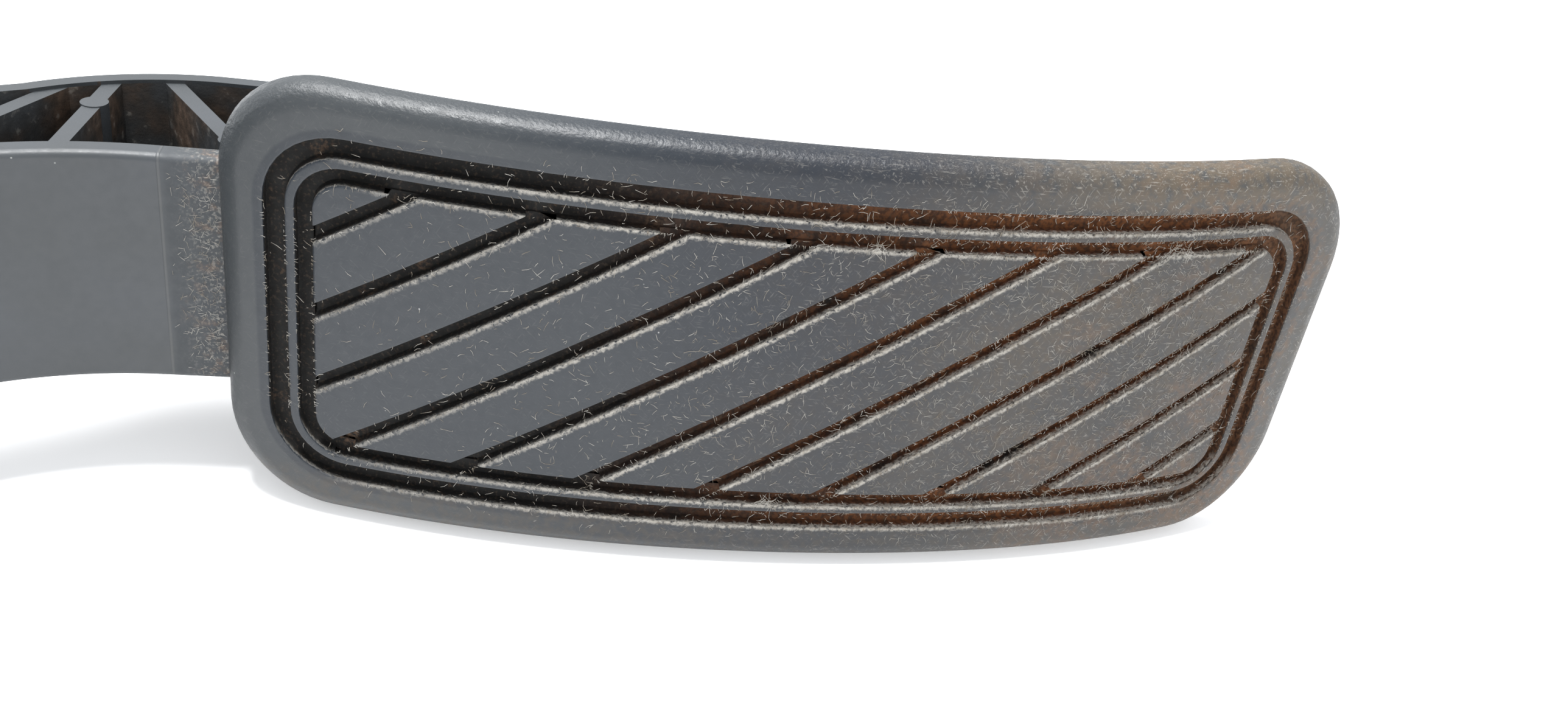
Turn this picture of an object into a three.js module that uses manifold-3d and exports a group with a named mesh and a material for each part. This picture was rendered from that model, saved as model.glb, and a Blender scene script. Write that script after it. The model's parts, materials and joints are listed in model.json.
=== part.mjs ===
// Hanging accelerator pedal module of a car, lying on its side.
// Millimetres. +Z is up and runs across the pedal, +X runs down the arm to the pad, and +Y points
// forward, away from the driver, to the bulkhead. The shapes below are drawn with the pivot axis at
// X = 0, Y = 0 and the pedal's middle plane at Z = 0. The whole group is moved at the end, so that
// its origin is at the middle of its footprint, at the surface it lies on.

import * as THREE from 'three';
import Module from 'manifold-3d';
import { mergeVertices } from 'three/addons/utils/BufferGeometryUtils.js';

const wasm = await Module();
wasm.setup();

// ---- driving dimensions ----
const gap = 0.3; // between pieces that touch on the real object

const pad = {
  left: -60.45, right: 62.2, low: -25.5, high: 23.85, // outline, from the pad's own centre
  thickness: 3.2, rim: 5, rimWall: 3.4, // face shell, whole depth and wall of the rim
  bow: [0.002376, 1.1e-6, 1.37e-7], // the face's depth is bow[0] x^2 + bow[1] x^3 + bow[2] x^4
  cornerRadii: { highLeft: 11, lowLeft: 11, lowRight: 12.5, highRight: 16 },
  fromPivotX: 185, fromPivotY: -80, // the pad's centre
  tilt: THREE.MathUtils.degToRad(37), // between the pad and the straight stretch of the arm
  steps: 22, // facets along the bow
  backRibs: [-38, -16, 6, 28, 48], longRibs: [-12.1, 12.1], ribHalf: 0.9, ribDrop: 0.3,
};
const grooves = {
  depth: 1.7,
  outer: { left: -55.8, right: 57.5, low: -20.8, high: 19.2, width: 2.1, radius: 8 },
  inner: { left: -52.7, right: 54.4, low: -17.8, high: 16.1, width: 1.7, radius: 5 },
  diagonals: 11, pitch: 13, firstOffset: 0.2, width: 1.5, slope: 0.673,
};
const arm = {
  halfWidth: 13, flange: 2.4, web: 2.6, rib: 1.8, ribs: 6,
  hubRadius: 15, hubHalfWidth: 18.7, shaftRadius: 5,
  frontBend: { x: -67.5, y: -27, radius: 40, angle: 36 }, // in the pad's own frame
  backBend: { x: -64, y: 4.5, radius: 31, angle: 38 },
  tailX: -26, tailY: -5, tailRadius: 5, tailHalfWidth: 10,
};
const tub = {
  wallTop: 22.4, wallBottom: 19.2, // the closed side wall
  open: -20, wall: 3,
  restZ: -26.2, // the side that it lies on
  backY: 26, flangeY: 25.5, bulkheadY: 30, // tub's outline, flange's front face, bulkhead face
  topX: -62, lipY: -25, frontY: -42, mouthX: 38, slopeX: 14, frontX: -8,
};
const ears = [[-72, -11], [-72, 13], [50, 1]]; // X and Z of the three fixing holes
const ear = { radius: 9.2, hole: 5.2, low: 21, sleeveRadius: 4.9, sleeveBore: 3.3 };
const lever = { x: -52, y: -12, boss: 6, pin: 3, halfWidth: 12, endX: -17, low: -17, high: -12.6 };
const springs = {
  x: -27, from: -38.7, to: -17.3,
  outer: { radius: 7.2, wire: 0.95, turns: 5 },
  inner: { radius: 4.6, wire: 0.65, turns: 6 },
};
const coverScrews = [[-56, -36], [-56, 20], [-14, -36], [8.5, 21]];
const sensorScrews = [[-35, -22], [-35, 15], [29, 0]];
const sensor = { left: -30, right: 24, low: -22, high: 20, bottom: 22.7, floor: 25, top: 38, wall: 3 };
const socket = {
  left: -52, low: -16, high: 8, bottom: 24, top: 38, wall: 2.2, // the shroud around the pins
  pins: 6, pinZ: 31, pitch: 2.8,
};
const screws = { // head sizes, shank radius and length
  cover: { radius: 3.6, height: 1.9, shank: 1.4, length: 15 },
  sensor: { radius: 3.4, height: 2, shank: 1.2, length: 9.5 },
};

// ---- solids ----
function toSolid(geometry) {
  geometry.deleteAttribute('normal');
  geometry.deleteAttribute('uv');
  const merged = mergeVertices(geometry, 1e-4);
  return new wasm.Manifold(new wasm.Mesh({
    numProp: 3,
    vertProperties: new Float32Array(merged.attributes.position.array),
    triVerts: new Uint32Array(merged.index.array),
  }));
}

function toGeometry(solid) {
  const mesh = solid.getMesh();
  const geometry = new THREE.BufferGeometry();
  geometry.setAttribute('position', new THREE.BufferAttribute(mesh.vertProperties, 3));
  geometry.setIndex(new THREE.BufferAttribute(mesh.triVerts, 1));
  geometry.computeVertexNormals();
  return geometry;
}

// An outline in X and Y, raised along Z.
function prismZ(outline, low, high, curveSegments = 6) {
  const settings = { depth: high - low, bevelEnabled: false, curveSegments };
  return toSolid(new THREE.ExtrudeGeometry(outline, settings).translate(0, 0, low));
}

// An outline in X and Z, raised along Y.
function prismY(outline, low, high, curveSegments = 6) {
  const settings = { depth: high - low, bevelEnabled: false, curveSegments };
  const geometry = new THREE.ExtrudeGeometry(outline, settings);
  return toSolid(geometry.rotateX(Math.PI / 2).translate(0, high, 0));
}

function box(x0, x1, y0, y1, z0, z1) {
  const geometry = new THREE.BoxGeometry(x1 - x0, y1 - y0, z1 - z0);
  return toSolid(geometry.translate((x0 + x1) / 2, (y0 + y1) / 2, (z0 + z1) / 2));
}

function discZ(x, y, radius, low, high, sides = 32) {
  const geometry = new THREE.CylinderGeometry(radius, radius, high - low, sides);
  return toSolid(geometry.rotateX(Math.PI / 2).translate(x, y, (low + high) / 2));
}

function discY(x, z, radius, low, high, sides = 32) {
  const geometry = new THREE.CylinderGeometry(radius, radius, high - low, sides);
  return toSolid(geometry.translate(x, (low + high) / 2, z));
}

function polygon(points) {
  return new THREE.Shape(points.map(([x, y]) => new THREE.Vector2(x, y)));
}

// A closed outline whose corners [x, y, radius] are rounded.
function roundedOutline(corners) {
  const shape = new THREE.Shape();
  corners.forEach(([x, y, radius], i) => {
    const corner = new THREE.Vector2(x, y);
    const before = new THREE.Vector2(...corners.at(i - 1).slice(0, 2));
    const after = new THREE.Vector2(...corners[(i + 1) % corners.length].slice(0, 2));
    const toBefore = before.sub(corner).normalize();
    const toAfter = after.sub(corner).normalize();
    const halfAngle = Math.acos(toBefore.dot(toAfter)) / 2;
    const reach = radius / Math.tan(halfAngle);
    const start = corner.clone().addScaledVector(toBefore, reach);
    const end = corner.clone().addScaledVector(toAfter, reach);
    if (i === 0) shape.moveTo(start.x, start.y);
    else shape.lineTo(start.x, start.y);
    if (radius > 0) shape.quadraticCurveTo(x, y, end.x, end.y);
  });
  shape.closePath();
  return shape;
}

function rectangle(x0, x1, y0, y1, radius) {
  return roundedOutline([[x0, y0, radius], [x1, y0, radius], [x1, y1, radius], [x0, y1, radius]]);
}

function offsetLine(points, distance) {
  return points.map((point, i) => {
    const before = points[Math.max(i - 1, 0)];
    const after = points[Math.min(i + 1, points.length - 1)];
    const along = after.clone().sub(before).normalize();
    return new THREE.Vector2(point.x - along.y * distance, point.y + along.x * distance);
  });
}

function bar(from, to, thickness, low, high) {
  const along = to.clone().sub(from).normalize().multiplyScalar(thickness / 2);
  const side = new THREE.Vector2(-along.y, along.x);
  const there = [from.clone().sub(side), to.clone().sub(side)];
  const back = [to.clone().add(side), from.clone().add(side)];
  return prismZ(new THREE.Shape([...there, ...back]), low, high);
}

function joinAll(solids) {
  return solids.reduce((sum, solid) => sum.add(solid));
}

// ---- the group and its materials ----
const pedal = new THREE.Group();
const plastic = { color: 0x3c4043, roughness: 0.55, metalness: 0 };
const darkPlastic = { color: 0x222426, roughness: 0.5, metalness: 0 };
const steel = { color: 0xa9adb2, roughness: 0.35, metalness: 1 };
const rubber = { color: 0x17181a, roughness: 0.85, metalness: 0 };
const bushPlastic = { color: 0xd8d2c2, roughness: 0.5, metalness: 0 };
const liningBrown = { color: 0x6e5a3c, roughness: 0.8, metalness: 0 };
const boardGreen = { color: 0x1f5a36, roughness: 0.5, metalness: 0 };
const chipBlack = { color: 0x111214, roughness: 0.4, metalness: 0 };
const tin = { color: 0xc9c7bd, roughness: 0.3, metalness: 1 };
const magnetGrey = { color: 0x55585c, roughness: 0.4, metalness: 1 };

function addPiece(name, solid, look) {
  const mesh = new THREE.Mesh(toGeometry(solid), new THREE.MeshStandardMaterial(look));
  mesh.name = name;
  pedal.add(mesh);
}

// ---- pedal arm and pad, one moulding ----
function faceDepth(x) {
  return pad.bow[0] * x ** 2 + pad.bow[1] * x ** 3 + pad.bow[2] * x ** 4;
}

// From the pad's own frame to the pedal's.
function fromPad(x, y) {
  const cos = Math.cos(pad.tilt);
  const sin = Math.sin(pad.tilt);
  return new THREE.Vector2(pad.fromPivotX + x * cos + y * sin, pad.fromPivotY - x * sin + y * cos);
}

function placePad(solid) {
  const turned = solid.rotate([0, 0, -THREE.MathUtils.radToDeg(pad.tilt)]);
  return turned.translate([pad.fromPivotX, pad.fromPivotY, 0]);
}

// The bowed layer that lies between two depths behind the pad's face.
function padLayer(near, far) {
  const reach = 70;
  const xs = Array.from({ length: pad.steps + 1 }, (_, i) => -reach + (2 * reach * i) / pad.steps);
  const front = xs.map((x) => [x, faceDepth(x) + near]);
  const back = xs.map((x) => [x, faceDepth(x) + far]).reverse();
  return prismZ(polygon([...front, ...back]), -40, 40);
}

function padOutline(inset) {
  const radii = pad.cornerRadii;
  return roundedOutline([
    [pad.left + inset, pad.low + inset, radii.lowLeft - inset],
    [pad.right - inset, pad.low + inset, radii.lowRight - inset],
    [pad.right - inset, pad.high - inset, radii.highRight - inset],
    [pad.left + inset, pad.high - inset, radii.highLeft - inset],
  ]);
}

function grooveFrame({ left, right, low, high, width, radius }) {
  const outside = prismY(rectangle(left, right, low, high, radius), -10, 30, 4);
  const inside = rectangle(left + width, right - width, low + width, high - width, radius - width);
  return outside.subtract(prismY(inside, -11, 31, 4));
}

function diagonalGrooves() {
  const { inner, diagonals, pitch, firstOffset, width, slope } = grooves;
  const field = rectangle(inner.left + 1, inner.right - 1, inner.low + 1, inner.high - 1, 4);
  const window = prismY(field, -10, 30, 4);
  const drop = width * Math.hypot(1, slope);
  const middle = (diagonals - 1) / 2;
  const strips = Array.from({ length: diagonals }, (_, i) => {
    const start = firstOffset + (i - middle) * pitch;
    const x0 = start - 40;
    const x1 = start + 40;
    const edge = (x) => slope * (x - start);
    const lower = [[x0, edge(x0) - drop], [x1, edge(x1) - drop]];
    return prismY(polygon([...lower, [x1, edge(x1)], [x0, edge(x0)]]), -10, 30);
  });
  return joinAll(strips).intersect(window);
}

function makePad() {
  const whole = prismY(padOutline(0), -10, 40).intersect(padLayer(0, pad.rim));
  const hollow = prismY(padOutline(pad.rimWall), -10, 40).intersect(padLayer(pad.thickness, 40));
  const half = pad.ribHalf;
  const backRibs = joinAll(pad.backRibs.map((x) => box(x - half, x + half, -10, 40, -30, 30)));
  const longRibs = joinAll(pad.longRibs.map((z) => box(-70, 70, -10, 40, z - half, z + half)));
  const ribLayer = padLayer(pad.thickness - 0.5, pad.rim - pad.ribDrop);
  const inside = prismY(padOutline(pad.rimWall / 2), -10, 40).intersect(ribLayer);
  const pattern = grooveFrame(grooves.outer).add(grooveFrame(grooves.inner)).add(diagonalGrooves());
  const cut = pattern.intersect(padLayer(-5, grooves.depth));
  return whole.subtract(hollow).add(backRibs.add(longRibs).intersect(inside)).subtract(cut);
}

function bendPoints({ x, y, radius, angle }, steps) {
  return Array.from({ length: steps + 1 }, (_, i) => {
    const turn = THREE.MathUtils.degToRad(angle * (1 - i / steps));
    return fromPad(x - radius * Math.sin(turn), y + radius * Math.cos(turn));
  });
}

function makeArm() {
  const frontLine = [new THREE.Vector2(2, -arm.hubRadius), ...bendPoints(arm.frontBend, 8), fromPad(-59, 13)];
  const backStart = new THREE.Vector2(4, arm.hubRadius - 1);
  const backLine = [backStart, ...bendPoints(arm.backBend, 8), fromPad(-56, 35.2)];
  const heel = [fromPad(-57, 11), fromPad(-50, 8.8), fromPad(-32, 4.6), fromPad(-14, 3), fromPad(-14, 8),
    fromPad(-36, 25.5), fromPad(-48, 33)];
  const outline = new THREE.Shape([...frontLine, ...heel, ...backLine.slice().reverse()]);
  const beam = prismZ(outline, -arm.halfWidth, arm.halfWidth);
  const hub = discZ(0, 0, arm.hubRadius, -arm.hubHalfWidth, arm.hubHalfWidth, 48);
  const { tailX, tailY, tailHalfWidth } = arm;
  const nose = discZ(tailX, tailY, arm.tailRadius, -tailHalfWidth, tailHalfWidth, 24);
  const tailSides = polygon([[-4, -9.9], [tailX - 0.5, tailY - 4.95], [tailX + 1, tailY + 4.9], [-4, 13]]);
  const tail = prismZ(tailSides, -tailHalfWidth, tailHalfWidth);

  const innerFront = offsetLine(frontLine, arm.flange).slice(1);
  const innerBack = offsetLine(backLine, -arm.flange).slice(1);
  innerFront.unshift(new THREE.Vector2(20, -13.6));
  innerBack.unshift(new THREE.Vector2(20, 9.2));
  const pocket = new THREE.Shape([...innerFront, ...innerBack.reverse()]);
  const heelCorners = [fromPad(-54, 20), fromPad(-33, 20), fromPad(-49, 30.5), fromPad(-54, 32)];
  const heelPocket = new THREE.Shape(heelCorners);
  const sides = [[arm.web / 2, 20], [-20, -arm.web / 2]];
  const shapes = [pocket, heelPocket];
  const pockets = joinAll(sides.flatMap(([low, high]) => shapes.map((shape) => prismZ(shape, low, high))));

  // Three ribs fan out from the back flange at the bend, and a zigzag follows up the arm.
  const zigzag = [];
  const frontAt = (t) => new THREE.Vector2(22 + 96 * t, -14 - 6 * t);
  const backAt = (t) => new THREE.Vector2(22 + 96 * t, 10 - 14 * t);
  for (let i = 0; i < arm.ribs; i += 1) {
    const start = i / arm.ribs;
    const end = (i + 1) / arm.ribs;
    zigzag.push(i % 2 ? [frontAt(start), backAt(end)] : [backAt(start), frontAt(end)]);
  }
  const fan = [
    [fromPad(-69.3, 34), fromPad(-58, 15)],
    [fromPad(-74.5, 33), fromPad(-76.2, 12)],
    [fromPad(-78.4, 31.5), fromPad(-89, 9)],
    [frontAt(1), fromPad(-89, 25)],
  ];
  const height = arm.halfWidth - 0.4;
  const ribs = joinAll([...zigzag, ...fan].map(([from, to]) => bar(from, to, arm.rib, -height, height)));
  const ribsInside = ribs.intersect(prismZ(outline, -height, height));

  const bore = discZ(0, 0, arm.shaftRadius + gap, -30, 30, 24);
  const body = joinAll([beam.subtract(pockets), ribsInside, hub, nose, tail, placePad(makePad())]);
  return body.subtract(bore);
}

addPiece('pedal_arm', makeArm(), plastic);
addPiece('pivot_shaft', discZ(0, 0, arm.shaftRadius, -23.8, 26, 24), steel);

const carrierBottom = 23;
const carrierTop = 28;
const carrier = discZ(0, 0, 9.5, carrierBottom, carrierTop, 32)
  .subtract(discZ(0, 0, arm.shaftRadius + gap, carrierBottom - 1, 26 + gap, 24));
addPiece('magnet_carrier', carrier, bushPlastic);
[-1, 1].forEach((side, i) => {
  const x = side * 5.5;
  addPiece(`magnet_${i + 1}`, box(x - 1.6, x + 1.6, -3.5, 3.5, carrierTop + gap, 30.4), magnetGrey);
});

// ---- housing tub ----
function sideOutline(inset, backInset = inset) {
  return roundedOutline([
    [tub.topX + inset, tub.frontY + inset, 8 - inset],
    [tub.frontX - inset * 0.5, tub.frontY + inset, 4],
    [tub.slopeX - inset * 0.5, tub.lipY + inset, 4],
    [tub.mouthX + inset * 2, tub.lipY + inset, 0.5],
    [tub.mouthX + inset * 2, tub.backY - backInset, 0.5],
    [tub.topX + inset, tub.backY - backInset, 1],
  ]);
}

function makeHousing() {
  const shell = prismZ(sideOutline(0), tub.open, tub.wallTop);
  const inside = prismZ(sideOutline(tub.wall, tub.backY - tub.flangeY), tub.open - 1, tub.wallBottom);
  const flangeOutline = roundedOutline([
    [-81, tub.restZ, 3], [36, tub.restZ, 3], [59, -9, 8],
    [59, 11, 8], [36, tub.wallTop, 3], [-81, tub.wallTop, 8],
  ]);
  const flange = prismY(flangeOutline, tub.flangeY, tub.bulkheadY);
  const bosses = joinAll(ears.map(([x, z]) => discY(x, z, ear.radius, ear.low, tub.bulkheadY - 1)));
  const gusset = polygon([[-62, -14], [-61, -14], [-61, 26], [-80, 26]]);
  const gussets = joinAll([-20, -1, 22].map((z) => prismZ(gusset, z - 0.2, z + 1.6)));
  const bossTop = tub.wallBottom + 1; // inside the side wall
  const screwBosses = joinAll(coverScrews.map(([x, y]) => discZ(x, y, 4.2, tub.open, bossTop, 24)));
  const sensorBosses = joinAll(sensorScrews.map(([x, y]) => discZ(x, y, 4.2, 14, bossTop, 24)));
  const pinBoss = discZ(lever.x, lever.y, 5.6, 13, bossTop, 24);
  const seatRing = discY(springs.x, 0, 10.6, -40, -36.5, 32).subtract(discY(springs.x, 0, 9, -41, -30, 32));
  const stopBlock = box(16, 28, 21, 26, -10, 20);
  const solid = joinAll([
    shell.subtract(inside), flange, bosses, gussets, screwBosses, sensorBosses, pinBoss, seatRing, stopBlock,
  ]);

  const cuts = [
    ...ears.map(([x, z]) => discY(x, z, ear.hole, 10, 40, 24)),
    ...coverScrews.map(([x, y]) => discZ(x, y, 1.7, tub.open - 1, -7, 12)),
    ...sensorScrews.map(([x, y]) => discZ(x, y, 1.5, 15, 30, 12)),
    discZ(lever.x, lever.y, lever.pin + gap, 12, 20.5, 20),
    discZ(0, 0, 8 + gap, 15, 30, 32),
    discY(28, 0, 2 + gap, tub.lipY - 2, tub.lipY + 6, 16),
    discY(22, 0, 2 + gap, 20, 27, 16),
  ];
  return solid.subtract(joinAll(cuts));
}

addPiece('housing', makeHousing(), darkPlastic);
ears.forEach(([x, z], i) => {
  const sleeve = discY(x, z, ear.sleeveRadius, ear.low, tub.bulkheadY, 24);
  addPiece(`ear_sleeve_${i + 1}`, sleeve.subtract(discY(x, z, ear.sleeveBore, 10, 40, 24)), steel);
});

// ---- cover ----
function makeCover() {
  const plateBottom = -23.4;
  const plateTop = tub.open - gap;
  const trim = box(-100, 100, tub.flangeY - gap, 60, -40, 0);
  const plate = prismZ(sideOutline(0), plateBottom, plateTop).subtract(trim);
  const rimInside = prismZ(sideOutline(3), -30, -20);
  const rim = prismZ(sideOutline(0), tub.restZ, plateBottom + 0.1).subtract(trim).subtract(rimInside);
  const boss = discZ(0, 0, 11, tub.restZ, plateBottom + 0.1, 32);
  const ribEnds = [[-60, -30, -10, -3], [-60, 22, -10, 3], [34, 22, 9, 3], [8, -30, 3, -9]];
  const ribs = joinAll(ribEnds.map(([x0, y0, x1, y1]) => (
    bar(new THREE.Vector2(x0, y0), new THREE.Vector2(x1, y1), 2, tub.restZ, plateBottom + 0.1))));
  const pads = joinAll(coverScrews.map(([x, y]) => discZ(x, y, 5.4, tub.restZ + 2.4, plateBottom + 0.1, 24)));
  const pinBoss = discZ(lever.x, lever.y, 5.6, plateTop - 0.1, -13, 24);
  const inside = prismZ(sideOutline(0), -30, 0);
  const solid = joinAll([plate, rim, boss, ribs, pads.intersect(inside).subtract(trim), pinBoss]);
  const cuts = [
    ...coverScrews.map(([x, y]) => discZ(x, y, 2.1, -30, -10, 16)),
    ...coverScrews.map(([x, y]) => discZ(x, y, 4, -30, tub.restZ + 2.4, 20)),
    discZ(lever.x, lever.y, lever.pin + gap, -21.8, -10, 20),
    discZ(0, 0, 8 + gap, -24.4, -10, 32),
  ];
  return solid.subtract(joinAll(cuts));
}

addPiece('housing_cover', makeCover(), darkPlastic);

function bush(low, high) {
  return discZ(0, 0, 8, low, high, 32).subtract(discZ(0, 0, arm.shaftRadius + gap, low - 1, high + 1, 24));
}
addPiece('pivot_bush_lower', bush(-24.1, -19), bushPlastic);
addPiece('pivot_bush_upper', bush(19, 22.6), bushPlastic);

// A pan head on a plain shank, with a cross recess.
function screw(x, y, headZ, direction, head) {
  const tipZ = headZ + direction * head.length;
  const topZ = headZ - direction * head.height;
  const body = discZ(x, y, head.shank, Math.min(headZ, tipZ), Math.max(headZ, tipZ), 12)
    .add(discZ(x, y, head.radius, Math.min(headZ, topZ), Math.max(headZ, topZ), 20));
  const slotDepth = head.height * 0.6;
  const slotLow = Math.min(topZ - direction, topZ + direction * slotDepth);
  const slotHigh = Math.max(topZ - direction, topZ + direction * slotDepth);
  const cross = box(x - 1.8, x + 1.8, y - 0.4, y + 0.4, slotLow, slotHigh)
    .add(box(x - 0.4, x + 0.4, y - 1.8, y + 1.8, slotLow, slotHigh));
  return body.subtract(cross);
}
coverScrews.forEach(([x, y], i) => {
  addPiece(`cover_screw_${i + 1}`, screw(x, y, tub.restZ + 2.4 - gap, 1, screws.cover), steel);
});

// ---- stops ----
addPiece('idle_bumper', box(23, 33, tub.lipY + tub.wall + gap, -17, -7, 7)
  .add(discY(28, 0, 2, tub.lipY + 0.3, -20, 16)), rubber);
addPiece('full_throttle_bumper', box(17, 27, 17.6, 21 - gap, -7, 7)
  .add(discY(22, 0, 2, 20, 25.6, 16)), rubber);

// ---- friction lever and springs ----
function makeLever() {
  const boss = discZ(lever.x, lever.y, lever.boss, -lever.halfWidth, lever.halfWidth, 28);
  const beam = box(lever.x, lever.endX, lever.low, lever.high, -9.6, 9.6);
  const heelBlock = box(lever.x, -42, lever.low, lever.y + 5, -9.6, 9.6);
  const spigot = discY(springs.x, 0, 3.4, -21, lever.low + 0.5, 20);
  const ledge = box(-19, lever.endX, lever.high - 0.5, lever.high + 1, -9.6, 9.6);
  const bore = discZ(lever.x, lever.y, lever.pin + gap, -20, 20, 20);
  return joinAll([boss, beam, heelBlock, spigot, ledge]).subtract(bore);
}
addPiece('friction_lever', makeLever(), bushPlastic);
addPiece('friction_pad', box(-37, -19.4, lever.high + gap, -10.4, -8, 8), liningBrown);
addPiece('lever_pin', discZ(lever.x, lever.y, lever.pin, -21.5, 20.2, 20), steel);

class CoilLine extends THREE.Curve {
  constructor({ radius, turns }) {
    super();
    this.radius = radius;
    this.turns = turns;
  }

  getPoint(t, target = new THREE.Vector3()) {
    const angle = 2 * Math.PI * this.turns * t;
    const closing = t - Math.sin(2 * Math.PI * t) / (2 * Math.PI) * 0.6;
    const y = springs.from + 1 + (springs.to - springs.from - 2) * closing;
    return target.set(springs.x + this.radius * Math.cos(angle), y, this.radius * Math.sin(angle));
  }
}

function coil(size) {
  const ring = new THREE.Shape();
  ring.absarc(0, 0, size.wire, 0, 2 * Math.PI);
  const path = new CoilLine(size);
  const settings = { steps: 12 * size.turns, extrudePath: path, curveSegments: 4, bevelEnabled: false };
  return toSolid(new THREE.ExtrudeGeometry(ring, settings));
}
addPiece('spring_outer', coil(springs.outer), steel);
addPiece('spring_inner', coil(springs.inner), steel);

// ---- sensor ----
function makeSensorHousing() {
  const { left, right, low, high, bottom, floor, top, wall } = sensor;
  const base = prismZ(rectangle(left, right, low, high, 4), bottom, top, 4);
  const shroud = box(socket.left, left + 1, socket.low, socket.high, socket.bottom, socket.top);
  const lugs = joinAll(sensorScrews.map(([x, y]) => discZ(x, y, 4.6, bottom, 26.5, 24)
    .add(box(Math.min(x, left + 1), Math.max(x, x < 0 ? left + 1 : x), y - 4.6, y + 4.6, bottom, 26.5))));
  const lugBridge = box(right - 1, sensorScrews[2][0], -4.6, 4.6, bottom, 26.5);
  const cavity = prismZ(rectangle(left + wall, right - wall, low + wall, high - wall, 3), floor, top + 1, 4);
  const mouth = box(socket.left - 1, -33, socket.low + socket.wall, socket.high - socket.wall,
    socket.bottom + socket.wall, socket.top - socket.wall);
  const keyRib = box(socket.left, -33.5, -5, -3, socket.top - socket.wall - 1.6, socket.top - 1);
  const cuts = [
    discZ(0, 0, 11, 20, 30, 32),
    discZ(0, 0, 15.6, bottom - 1, 24, 40).subtract(discZ(0, 0, 12.8, bottom - 2, 25, 40)),
    ...sensorScrews.map(([x, y]) => discZ(x, y, 2, 20, 30, 16)),
    ...pinRows().map((y) => box(-35, -25, y - 0.8, y + 0.8, socket.pinZ - 0.8, socket.pinZ + 0.8)),
  ];
  const hollow = joinAll([base, shroud, lugs, lugBridge]).subtract(cavity).subtract(mouth);
  return hollow.add(keyRib).subtract(joinAll(cuts));
}

function pinRows() {
  const middle = (socket.low + socket.high) / 2;
  return Array.from({ length: socket.pins }, (_, i) => middle + (i - (socket.pins - 1) / 2) * socket.pitch);
}

addPiece('sensor_housing', makeSensorHousing(), darkPlastic);
const sealRing = discZ(0, 0, 15.3, 22.8, 23.7, 40).subtract(discZ(0, 0, 13.1, 20, 30, 40));
addPiece('sensor_seal', sealRing, rubber);

function caseOutline(inset, radius) {
  const { left, right, low, high } = sensor;
  return rectangle(left + inset, right - inset, low + inset, high - inset, radius);
}
const lid = prismZ(caseOutline(0, 4), sensor.top + gap, sensor.top + 2.3, 4);
const lidRim = prismZ(caseOutline(3.3, 3), 36.4, sensor.top + 1, 4)
  .subtract(prismZ(caseOutline(5, 2), 30, 38.4, 4));
addPiece('sensor_lid', lid.add(lidRim), darkPlastic);
const boardBottom = 33;
addPiece('sensor_board', box(-26, 20, -18, 16, boardBottom, boardBottom + 1.6), boardGreen);
[-1, 1].forEach((side, i) => {
  const x = side * 2.4;
  addPiece(`hall_chip_${i + 1}`, box(x - 2, x + 2, -2, 2, 31.3, boardBottom - gap), chipBlack);
});
pinRows().forEach((y, i) => {
  const tall = 0.45;
  const profile = polygon([
    [-46, socket.pinZ - tall], [-23, socket.pinZ - tall], [-23, boardBottom - gap],
    [-23.9, boardBottom - gap], [-23.9, socket.pinZ + tall], [-46, socket.pinZ + tall],
  ]);
  addPiece(`connector_pin_${i + 1}`, prismY(profile, y - tall, y + tall), tin);
});
sensorScrews.forEach(([x, y], i) => {
  addPiece(`sensor_screw_${i + 1}`, screw(x, y, 26.5 + gap, -1, screws.sensor), steel);
});

// ---- origin at the middle of the footprint, on the surface it lies on ----
const bounds = new THREE.Box3().setFromObject(pedal);
const middle = bounds.getCenter(new THREE.Vector3());
pedal.position.set(-middle.x, -middle.y, -bounds.min.z);

export default pedal;
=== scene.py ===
import json
import math
import random

import bpy
from mathutils import Matrix, Vector


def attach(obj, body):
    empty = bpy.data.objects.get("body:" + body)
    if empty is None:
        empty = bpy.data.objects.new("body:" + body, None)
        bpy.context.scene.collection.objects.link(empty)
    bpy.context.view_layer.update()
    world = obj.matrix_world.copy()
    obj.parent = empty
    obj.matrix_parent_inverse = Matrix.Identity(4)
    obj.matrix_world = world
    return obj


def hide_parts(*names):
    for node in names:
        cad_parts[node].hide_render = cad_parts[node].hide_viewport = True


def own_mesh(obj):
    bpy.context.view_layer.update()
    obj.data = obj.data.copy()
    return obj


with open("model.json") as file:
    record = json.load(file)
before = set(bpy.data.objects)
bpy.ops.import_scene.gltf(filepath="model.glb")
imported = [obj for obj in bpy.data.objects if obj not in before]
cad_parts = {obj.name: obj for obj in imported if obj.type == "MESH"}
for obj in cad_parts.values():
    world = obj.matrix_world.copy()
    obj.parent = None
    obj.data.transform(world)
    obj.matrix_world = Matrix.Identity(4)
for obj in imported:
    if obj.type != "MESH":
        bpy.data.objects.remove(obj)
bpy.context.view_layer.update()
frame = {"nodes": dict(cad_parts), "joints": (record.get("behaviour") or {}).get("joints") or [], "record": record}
print("frame loaded")

mm = 0.001
joints = {joint["name"]: joint for joint in frame["joints"]}
pivot = Vector(joints["pedal_hinge"]["pos_m"])  # the middle of the pedal's axis
pedalBody, housingBody, leverBody = "pedal_body", "housing_body", "lever_body"
padPlace = {"x": 185 * mm, "y": -80 * mm, "tilt": math.radians(37)}  # the pad's centre, from the pivot
padToRow = (Matrix.Translation(pivot + Vector((padPlace["x"], padPlace["y"], 0)))
            @ Matrix.Rotation(-padPlace["tilt"], 4, "Z"))
toRow = Matrix.Translation(pivot)


# hand tools
def makeActive(piece):
    if bpy.context.mode != "OBJECT":
        bpy.ops.object.mode_set(mode="OBJECT")
    bpy.ops.object.select_all(action="DESELECT")
    piece.select_set(True)
    bpy.context.view_layer.objects.active = piece


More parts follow.
